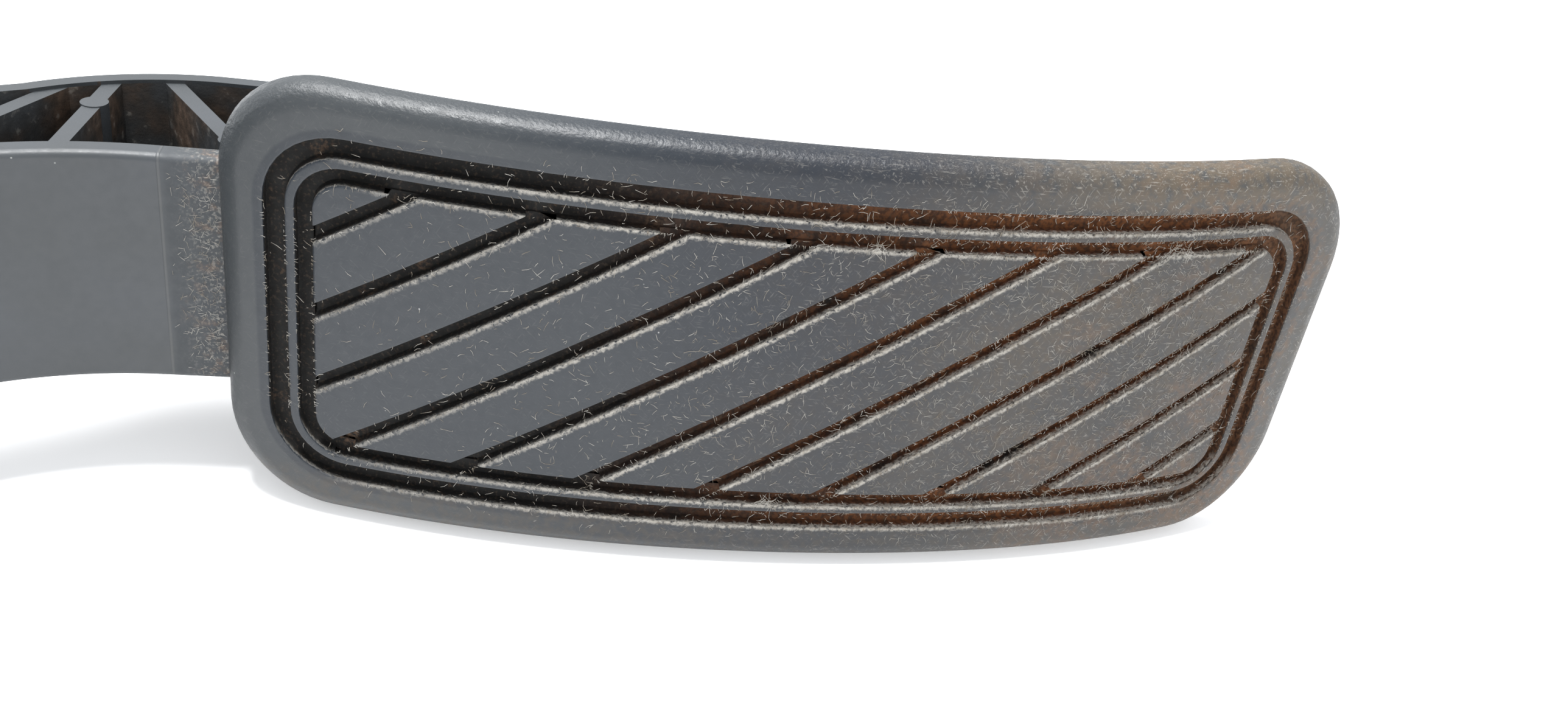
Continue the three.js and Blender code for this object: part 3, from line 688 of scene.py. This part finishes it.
def makeScrew(kind):  # a pan head with a six-lobed recess, its seat at Z = 0 and its head up
    sizes, own = screwSizes, screwSizes[kind]
    screw = drum(0, 0, own["head"], 0, own["height"], sizes["sides"])
    screw.name = kind + "Screw"
    pick(screw, "FACE", lambda face: face.center.z > own["height"] - 0.01 * mm and face.normal.z > 0.9)
    bpy.ops.mesh.region_to_loop()
    bpy.ops.mesh.bevel(offset=sizes["dome"], segments=5, profile=0.5, affect="EDGES")
    done()
    count, lobes = sizes["sides"], []
    for i in range(count):
        turn = 2 * math.pi * i / count
        reach = sizes["recess"] + sizes["lobe"] * (math.cos(6 * turn) - 1) / 2
        lobes.append((reach * math.cos(turn), reach * math.sin(turn)))
    recess = outlinePrism("recess", lobes, own["height"] - sizes["recessDepth"], own["height"] + 1 * mm)
    combine(screw, recess, "DIFFERENCE")
    roundEdges(screw, 0.1 * mm, 2, 50)
    core, steps, thread = own["shank"] - sizes["threadHeight"] / 2, sizes["threadSteps"], []
    combine(screw, drum(0, 0, core, -own["length"], 0.2 * mm, 20), "UNION")
    turns = (own["length"] - sizes["bare"]) / sizes["threadPitch"]
    for i in range(int(turns * steps) + 1):
        turned = i / steps
        angle = turned * 2 * math.pi
        depth = -sizes["threadStart"] - turned * sizes["threadPitch"]
        width = min(1, 0.2 + (turns - turned) * 0.8)  # it runs out near the tip
        thread.append(((math.cos(angle) * core, math.sin(angle) * core, depth), width))
    helix = strands("thread", [thread], sizes["threadHeight"] / 2)
    makeActive(helix)
    screw.select_set(True)
    bpy.context.view_layer.objects.active = screw
    bpy.ops.object.join()
    smooth(screw, 40)
    return screw


def placeScrews(kind, nodeStart, spots):
    own, first = screwSizes[kind], makeScrew(kind)
    for index, (x, y) in enumerate(spots):
        piece = first.copy()
        piece.data = first.data.copy()
        piece.name = "%s%d" % (first.name, index + 1)
        bpy.context.scene.collection.objects.link(piece)
        turn = Matrix.Rotation(random.uniform(0, math.pi), 4, "Z")
        flip = Matrix() if own["up"] > 0 else Matrix.Rotation(math.pi, 4, "X")
        place(piece, toRow @ Matrix.Translation((x * mm, y * mm, own["seat"])) @ flip @ turn)
        dress(piece, "zinc")
        finishPiece(piece, housingBody, "zinc_steel", "%s_%d" % (nodeStart, index + 1))
    bpy.data.objects.remove(first)


# housing pieces, from their CAD shapes with moulded edges
roundedNodes = {  # node: piece's name, finish, body, edge width in millimetres
    "housing": ("pedalHousing", "housing", housingBody, 0.5),
    "housing_cover": ("housingCover", "housing", housingBody, 0.5),
    "sensor_housing": ("sensorCase", "sensor", housingBody, 0.4),
    "sensor_lid": ("sensorLid", "sensor", housingBody, 0.6),
    "friction_lever": ("frictionLever", "bush", leverBody, 0.4),
    "friction_pad": ("frictionPad", "lining", leverBody, 0.3),
    "idle_bumper": ("idleBumper", "rubber", housingBody, 0.8),
    "full_throttle_bumper": ("fullThrottleBumper", "rubber", housingBody, 0.8),
    "magnet_carrier": ("magnetCarrier", "bush", pedalBody, 0.4),
    "pivot_shaft": ("pivotShaft", "steel", pedalBody, 0.5),
    "pivot_bush_lower": ("pivotBushLower", "bush", housingBody, 0.3),
    "pivot_bush_upper": ("pivotBushUpper", "bush", housingBody, 0.3),
    "lever_pin": ("leverPin", "steel", housingBody, 0.4),
    **{"ear_sleeve_%d" % (i + 1): ("earSleeve%d" % (i + 1), "zinc", housingBody, 0.35) for i in range(3)},
    **{"magnet_%d" % (i + 1): ("magnet%d" % (i + 1), "magnet", pedalBody, 0.25) for i in range(2)},
}


def roundedCopy(nodeName, pieceName, width, segments=2, angle=40):
    piece = bpy.data.objects.new(pieceName, frame["nodes"][nodeName].data.copy())
    bpy.context.scene.collection.objects.link(piece)
    pick(piece, "FACE")
    bpy.ops.mesh.remove_doubles(threshold=0.003 * mm)
    bpy.ops.mesh.dissolve_limited(angle_limit=math.radians(0.8))
    done()
    roundEdges(piece, width, segments, angle)
    smooth(piece)
    modify(piece, "WEIGHTED_NORMAL", keep_sharp=True)
    return piece


# materials
padTones = {
    # the dark bluish tone is the tone of a painted reflection, not the plastic's own colour
    "grey": (0.030, 0.034, 0.037), "blue": (0.003, 0.007, 0.014), "dust": (0.090, 0.066, 0.040),
    # the near-black soot tone also stands for painted shade in the grooves
    "lint": (0.30, 0.285, 0.255), "pale": (0.42, 0.395, 0.35), "soot": (0.003, 0.003, 0.0025),
    "rust": (0.135, 0.048, 0.014), "clay": (0.120, 0.068, 0.038), "pitch": (0.005, 0.0035, 0.003),
    "crumb": (0.050, 0.034, 0.022), "chalk": (0.5, 0.5, 0.48),
    "midX": 0.85, "midZ": -0.8, "flatX": 48.4, "flatZ": 11.7, "round": 9.2,  # the grooved field
}


def lintFringe(x, depth, z, fray, crumbs):  # lint on the face, just below each groove
    tones = padTones
    across = x - z * (1 / padSizes["slope"]) - padSizes["offset"] / mm
    phase = across.maths("WRAP", across, padSizes["pitch"] / mm, 0.0)
    cutWide = padSizes["width"] / mm * math.hypot(1, padSizes["slope"]) / padSizes["slope"]
    ragged = (fray - 0.5) * 1.6
    core = abs(x - tones["midX"]).step(52.2, 51.6) * abs(z - tones["midZ"]).step(15.4, 15.1)
    fringe = (phase + ragged).step(cutWide + 0.9, cutWide + 0.2) * phase.step(cutWide - 0.3, cutWide) * core
    for ring in (padSizes["outer"], padSizes["inner"]):
        half = (ring["right"] - ring["left"]) / mm / 2
        reach = abs(x - tones["midX"]).step(half - 5, half - 9)
        for height in (ring["high"] - ring["width"], ring["low"]):
            under = height / mm - z
            fringe = fringe.atLeast((under + ragged * 0.5).step(0.45, 0.05) * under.step(-0.1, 0.02) * reach)
    return fringe * depth.step(0.5, 0.2) * x.step(-56, -10, 0.35, 1.0) * crumbs.step(0.3, 0.55)


def dustedPlasticWithReflection(finish, at, inside, right, fine):  # painted reflection: darker and bluer in the middle and over the grooved field; dusty to the right
    tones, x, z = padTones, at.part(0), at.part(2)
    cloud = finish.noise(at, 15.0, 4)
    middle = x.step(-48, -2) * x.step(34, 4)
    # painted reflection: the middle of the face and the grooved field are darkened towards a bluish tone, as if
    # they mirrored a dark room
    paintedReflection = (middle * z.step(-30, 14, 0.6, 1.0)).atLeast(inside * 0.55)
    colour = finish.blend(paintedReflection, tones["grey"], tones["blue"])
    film = right * cloud.step(0.3, 0.75, 0.35, 1.0) * fine.step(0.3, 0.8, 0.45, 1.0)
    film = film.atLeast(z.step(-19, -22) * fine.step(0.3, 0.7) * 0.4)
    film = film.atLeast(z.step(17, 21) * x.step(0, 40) * fine.step(0.2, 0.6))
    colour = finish.blend(film * 0.7, colour, tones["dust"])
    low = (z + x * 0.25).step(8, -8)  # more of the earth lies low on the right
    stain = x.step(12, 44) * (finish.noise(at, 9.0, 3) + low * 0.2).step(0.5, 0.68) * fine.step(0.3, 0.7)
    return finish.blend(stain * 0.5, colour, tones["clay"])


def packedEarthAndShade(finish, at, fray, crumbs):  # what fills the grooves, with painted shade: near-black soot and shade at the left, rust at the right
    tones, x = padTones, at.part(0)
    worn = finish.noise(at, 5.0, 4)
    earth = finish.blend(x.step(-30, 22) * worn.step(0.28, 0.5), tones["soot"], tones["rust"])
    earth = finish.blend(x.step(38, 54) * 0.55, earth, tones["clay"])
    earth = finish.blend(fray.step(0.42, 0.6) * 0.6, earth, tones["pitch"])
    earth = finish.blend(crumbs.step(0.52, 0.68) * 0.5, earth, tones["crumb"])
    return finish.blend(worn.step(0.6, 0.75) * crumbs.step(0.4, 0.6) * 0.5, earth, tones["clay"])


def padFinish():
    tones = padTones
    finish = Finish("padPlastic", tones["grey"], 0.5, Specular_IOR_Level=0.42)
    at = finish.stored("flat")
    x, depth, z = at.part(0), at.part(1), at.part(2)
    pastX = (abs(x - tones["midX"]) - tones["flatX"]).atLeast(0.0)
    pastZ = (abs(z - tones["midZ"]) - tones["flatZ"]).atLeast(0.0)
    field = (pastX * pastX + pastZ * pastZ).root()
    inside = field.step(tones["round"] + 0.3, tones["round"] - 0.1)
    facing = finish.node("ShaderNodeNewGeometry", {}, {}, "Normal").part(2)
    fray = finish.noise(at, 0.55, 4)
    crumbs = finish.noise(at, 0.42, 3)
    fine = finish.noise(at, 1.1, 4)
    right = x.step(-28, 42)
    lip = depth + (fray + crumbs - 1.0) * 1.1
    sunk = (depth + (crumbs - 0.5) * 0.5).step(0.14, 0.3) * inside
    sunk = sunk * depth.step(0.01, 0.06) * depth.step(2.3, 2.0)
    # dirt and painted shade: the groove floor and the walls that don't face up are made dark
    groove = sunk * (1 - facing.step(0.3, 0.7) * (1 - lip.step(0.3, 0.6)))
    lintAndLitLip = sunk * facing.step(0.2, 0.5) * (lip - right * 0.3).step(0.85, 0.4)  # on the lip that faces up: lint, and painted light where it faces the lamps
    fringe = lintFringe(x, depth, z, fray, crumbs)
    colour = dustedPlasticWithReflection(finish, at, inside, right, fine)
    smears = [finish.noise(finish.stretched(at, 7.0, turn), 0.19, 2).step(0.60, 0.74)
              for turn in (0.5, -0.8, 1.6)]
    smear = smears[0].atLeast(smears[1]).atLeast(smears[2]) * (right * 0.42 + 0.06) * (1 - groove)
    colour = finish.blend(smear, colour, tones["lint"])
    colour = finish.blend(finish.specks(at, 3.4, 0.13) * 0.55, colour, tones["chalk"])
    colour = finish.blend(groove, colour, packedEarthAndShade(finish, at, fray, crumbs))
    # pale lint and painted light on the groove walls that face up
    downyAndLitLip = lintAndLitLip * fray.step(0.35, 0.55, 0.15, 1.0) * x.step(-50, 0, 0.3, 0.9)
    colour = finish.blend(downyAndLitLip, colour, tones["pale"])
    colour = finish.blend(fringe * 0.75, colour, tones["pale"])
    rim = abs(field - tones["round"]).step(1.4, 0.2) * x.step(20, 52) * fine.step(0.4, 0.7)
    colour = finish.blend(rim * 0.5, colour, tones["clay"])
    finish.set("Base Color", colour)
    rough = fine.step(0.2, 0.8, 0.36, 0.5) + right * 0.12
    finish.set("Roughness", (rough + groove * 0.4 + smear * 0.2 + (lintAndLitLip + fringe) * 0.4).atMost(1.0))
    grain = finish.noise(at, 0.32, 2) + finish.noise(at, 0.11, 2) * 0.6
    edge = field.step(11.5, 13.0) * depth.step(0.05, 0.6)  # the rolled edge is rougher
    scuffed = (finish.noise(at, 0.45, 3) + finish.noise(at, 0.9, 3)) * edge * 4.5
    raised = (groove + lintAndLitLip + fringe) * (fray + crumbs) * 3.0
    finish.bump(grain + smear * 0.9 + scuffed + raised, 0.02 * mm, 0.8)
    return finish.material


armTones = {"line": -66.3, "bandEnd": -59.5, "frontDepth": 17.0}  # millimetres, in the pad's own frame


def armFinish():
    tones, places = padTones, armTones
    finish = Finish("armPlastic", tones["grey"], 0.5)
    at = finish.stored("flat")
    x, depth = at.part(0), at.part(1)
    front = depth.step(places["frontDepth"], places["frontDepth"] - 2)
    band = x.step(places["line"] - 0.3, places["line"] + 0.8) * front
    band = band * x.step(places["bandEnd"] + 1, places["bandEnd"])
    mark = abs(x - places["line"]).step(0.22, 0.06) * front
    cloud = finish.noise(at, 14.0, 4)
    fine = finish.noise(at, 0.9, 4)
    colour = finish.blend(cloud.step(0.35, 0.7, 0.0, 0.5), tones["grey"], (0.038, 0.043, 0.050))
    speckle = finish.noise(at, 0.3, 3)
    near = x.step(places["line"] + 0.5, places["bandEnd"] - 0.8, 0.02, 1.0) * band
    colour = finish.blend(near * speckle.step(0.5, 0.66) * 0.4, colour, tones["lint"])
    colour = finish.blend(near * finish.noise(at, 1.6, 4).step(0.5, 0.66) * speckle.step(0.3, 0.6) * 0.5,
                          colour, tones["clay"])
    colour = finish.blend(finish.specks(at, 3.8, 0.12) * 0.4, colour, tones["chalk"])
    colour = finish.blend(mark * 0.06, colour, tones["lint"])
    finish.set("Base Color", colour)
    finish.set("Roughness", fine.step(0.2, 0.8, 0.42, 0.54) + band * 0.2)
    finish.bump(speckle + mark * 3.0 + near * fine * 2.0, 0.02 * mm, 0.7)
    return finish.material


def pocketFinish():
    tones = padTones
    finish = Finish("pocketPlastic", tones["grey"], 0.6)
    at = finish.stored("flat")
    cloud, fine = finish.noise(at, 11.0, 4), finish.noise(at, 1.2, 4)
    colour = finish.blend(cloud.step(0.3, 0.6) * 0.9, (0.030, 0.034, 0.038), (0.016, 0.013, 0.010))
    dirt = cloud.step(0.46, 0.66) * fine.step(0.3, 0.7, 0.3, 1.0)
    colour = finish.blend(dirt * 0.6, colour, tones["clay"])
    colour = finish.blend(fine.step(0.6, 0.75) * 0.3, colour, tones["lint"])
    finish.set("Base Color", colour)
    finish.set("Roughness", fine.step(0.3, 0.8, 0.55, 0.9))
    finish.bump(fine + finish.noise(at, 0.3, 3) * 0.5, 0.05 * mm, 0.6)
    return finish.material


def lintFinish():
    finish = Finish("lint", (0.36, 0.34, 0.30), 0.9)
    at = finish.place()
    mixed = finish.noise(at, 2.0, 2).step(0.35, 0.65)
    finish.set("Base Color", finish.blend(mixed, (0.40, 0.385, 0.35), (0.20, 0.17, 0.13)))
    return finish.material


def plasticFinish(name, colour, roughness, grainSize=0.3, dirt=0.0):
    finish = Finish(name, colour, roughness)
    at = finish.place()
    cloud = finish.noise(at, 12.0, 4)
    fine = finish.noise(at, 1.4, 4)
    lighter = tuple(min(1.0, channel * 1.35 + 0.01) for channel in colour)
    made = finish.blend(cloud.step(0.35, 0.75, 0.0, 0.5), colour, lighter)
    if dirt:
        made = finish.blend(cloud.step(0.45, 0.7) * fine.step(0.4, 0.7) * dirt, made, (0.15, 0.09, 0.05))
    finish.set("Base Color", made)
    finish.set("Roughness", fine.step(0.25, 0.75, roughness - 0.06, roughness + 0.08))
    finish.bump(finish.noise(at, grainSize, 3), 0.03 * mm, 0.5)
    return finish.material


def metalFinish(name, colour, roughness):
    finish = Finish(name, colour, roughness, 1.0)
    at = finish.place()
    drawn = finish.noise(at, 0.9, 3)
    finish.set("Base Color", finish.blend(drawn.step(0.3, 0.8, 0.0, 0.4), colour,
                                          tuple(channel * 0.7 for channel in colour)))
    finish.set("Roughness", drawn.step(0.25, 0.75, roughness - 0.08, roughness + 0.12))
    finish.bump(finish.noise(at, 0.2, 2), 0.01 * mm, 0.4)
    return finish.material


finishes = {
    "pad": padFinish(), "arm": armFinish(), "pocket": pocketFinish(), "lint": lintFinish(),
    "housing": plasticFinish("housingPlastic", (0.028, 0.03, 0.033), 0.48, 0.35),
    "sensor": plasticFinish("sensorPlastic", (0.036, 0.038, 0.041), 0.42, 0.25),
    "bush": plasticFinish("bushPlastic", (0.6, 0.57, 0.48), 0.4, 0.4),
    "lining": plasticFinish("frictionLining", (0.22, 0.15, 0.09), 0.8, 0.6),
    "rubber": plasticFinish("rubber", (0.022, 0.022, 0.024), 0.8, 0.5),
    "board": plasticFinish("circuitBoard", (0.03, 0.13, 0.06), 0.4, 0.8),
    "chip": plasticFinish("chipEpoxy", (0.015, 0.015, 0.016), 0.5, 0.2),
    "steel": metalFinish("groundSteel", (0.55, 0.56, 0.58), 0.3),
    "spring": metalFinish("springSteel", (0.36, 0.37, 0.39), 0.35),
    "zinc": metalFinish("zincPlate", (0.58, 0.59, 0.58), 0.34),
    "tin": metalFinish("tinPlate", (0.7, 0.69, 0.65), 0.28),
    "magnet": metalFinish("nickelPlate", (0.45, 0.44, 0.42), 0.3),
}
print("materials made")


def dress(piece, finishName):
    material = finishes[finishName]
    piece.data.materials.clear()
    piece.data.materials.append(material)


# put it together
pad = makePad()
dress(pad, "pad")
finishPiece(pad, pedalBody, "arm_plastic", "pedal_arm")
print("pad done")

arm = makeArm()
finishPiece(arm, pedalBody, "arm_plastic", "pedal_arm")
print("arm done")

makeLint()

for nodeName, pieceName in (("spring_outer", "springOuter"), ("spring_inner", "springInner")):
    makeSpring(nodeName, pieceName)
placeScrews("sensor", "sensor_screw", screwSizes["sensorSpots"])
placeScrews("cover", "cover_screw", screwSizes["coverSpots"])
print("springs and screws done")

slotNames = {subpart["node"]: subpart["material_slot"] for subpart in frame["record"]["subparts"]}
for nodeName, (pieceName, finishName, bodyName, width) in roundedNodes.items():
    piece = roundedCopy(nodeName, pieceName, width * mm)
    dress(piece, finishName)
    finishPiece(piece, bodyName, slotNames[nodeName], nodeName)
print("housing pieces done")

slotFinish = {
    "housing_plastic": "housing", "sensor_plastic": "sensor", "steel": "steel", "spring_steel": "spring",
    "zinc_steel": "zinc", "bush_plastic": "bush", "friction_lining": "lining", "rubber": "rubber",
    "circuit_board": "board", "chip": "chip", "magnet": "magnet", "tin_plate": "tin", "arm_plastic": "arm",
}
for nodeName, slotName in slotNames.items():
    dress(frame["nodes"][nodeName], slotFinish[slotName])


# floor, lights and camera
stageSizes = {  # metres and watts; the strip's places are in the pad's own frame
    "floor": 6, "table": (0.86, 0.86, 0.86), "tableLight": (0.89, 0.89, 0.89), "tableGlow": 0.33,
    "sky": (0.93, 0.96, 1.0, 1), "skyStrength": 1.0,
    "overheadSoft": {"spot": (-0.1, 0.45, 0.8), "size": (0.6, 0.5), "power": 10},
    "frontFill": {"spot": (-0.1, -0.9, 0.5), "size": (0.9, 0.6), "power": 1.8},
    "edgeStrip": {"spot": (-0.1, -0.04, 0.51), "aim": (-0.028, 0, 0.022), "size": (0.08, 0.1), "power": 4.0},
}


def makeStage():
    bpy.ops.object.select_all(action="DESELECT")
    bpy.ops.mesh.primitive_plane_add(size=stageSizes["floor"], location=(0, 0, 0))
    floor = bpy.context.active_object
    floor.name = "floor"
    sizes = stageSizes
    finish = Finish("paleTable", sizes["table"], 0.6)
    mottled = finish.noise(finish.place(), 40, 3).step(0.3, 0.7)
    finish.set("Base Color", finish.blend(mottled, sizes["table"], sizes["tableLight"]))
    finish.set("Emission Color", (1.0, 1.0, 1.0))
    finish.set("Emission Strength", sizes["tableGlow"])
    floor.data.materials.append(finish.material)


def areaLight(name, spot, aim, plan):
    light = bpy.data.lights.new(name, "AREA")
    light.shape = "RECTANGLE"
    light.size, light.size_y = plan["size"]
    light.energy = plan["power"]
    holder = bpy.data.objects.new(name, light)
    bpy.context.scene.collection.objects.link(holder)
    holder.location = spot
    holder.rotation_euler = (Vector(aim) - Vector(spot)).to_track_quat("-Z", "Y").to_euler()


def makeCamera():
    view = {"spot": (-33.13, -124.93, 77.33), "yaw": 13.35, "pitch": 30.415, "roll": 9.909, "lens": 33.08}
    yaw, pitch, roll = (math.radians(view[key]) for key in ("yaw", "pitch", "roll"))
    ahead = Vector((math.sin(yaw) * math.cos(pitch), math.cos(yaw) * math.cos(pitch), -math.sin(pitch)))
    right = ahead.cross(Vector((0, 0, 1))).normalized()
    up = right.cross(ahead)
    rolledRight = math.cos(roll) * right + math.sin(roll) * up
    rolledUp = math.cos(roll) * up - math.sin(roll) * right
    turned = Matrix((rolledRight, rolledUp, -ahead)).transposed().to_4x4()
    spot = Matrix.Translation(Vector(view["spot"]) * mm)
    data = bpy.data.cameras.new("camera")
    data.sensor_width = 36
    data.lens = view["lens"]
    data.clip_start = 0.005
    holder = bpy.data.objects.new("camera", data)
    holder.matrix_world = padToRow @ spot @ turned
    bpy.context.scene.collection.objects.link(holder)
    bpy.context.scene.camera = holder


makeStage()
padCentre = padToRow.translation
for lightName in ("overheadSoft", "frontFill"):
    plan = stageSizes[lightName]
    areaLight(lightName, padCentre + Vector(plan["spot"]), padCentre, plan)
strip = stageSizes["edgeStrip"]
areaLight("edgeStrip", padToRow @ Vector(strip["spot"]), padToRow @ Vector(strip["aim"]), strip)
world = bpy.data.worlds.new("studio")
world.use_nodes = True
sky = world.node_tree.nodes["Background"]
sky.inputs["Color"].default_value = stageSizes["sky"]
sky.inputs["Strength"].default_value = stageSizes["skyStrength"]
bpy.context.scene.world = world
bpy.context.scene.view_settings.view_transform = "Standard"
makeCamera()
print("stage, lights and camera made")
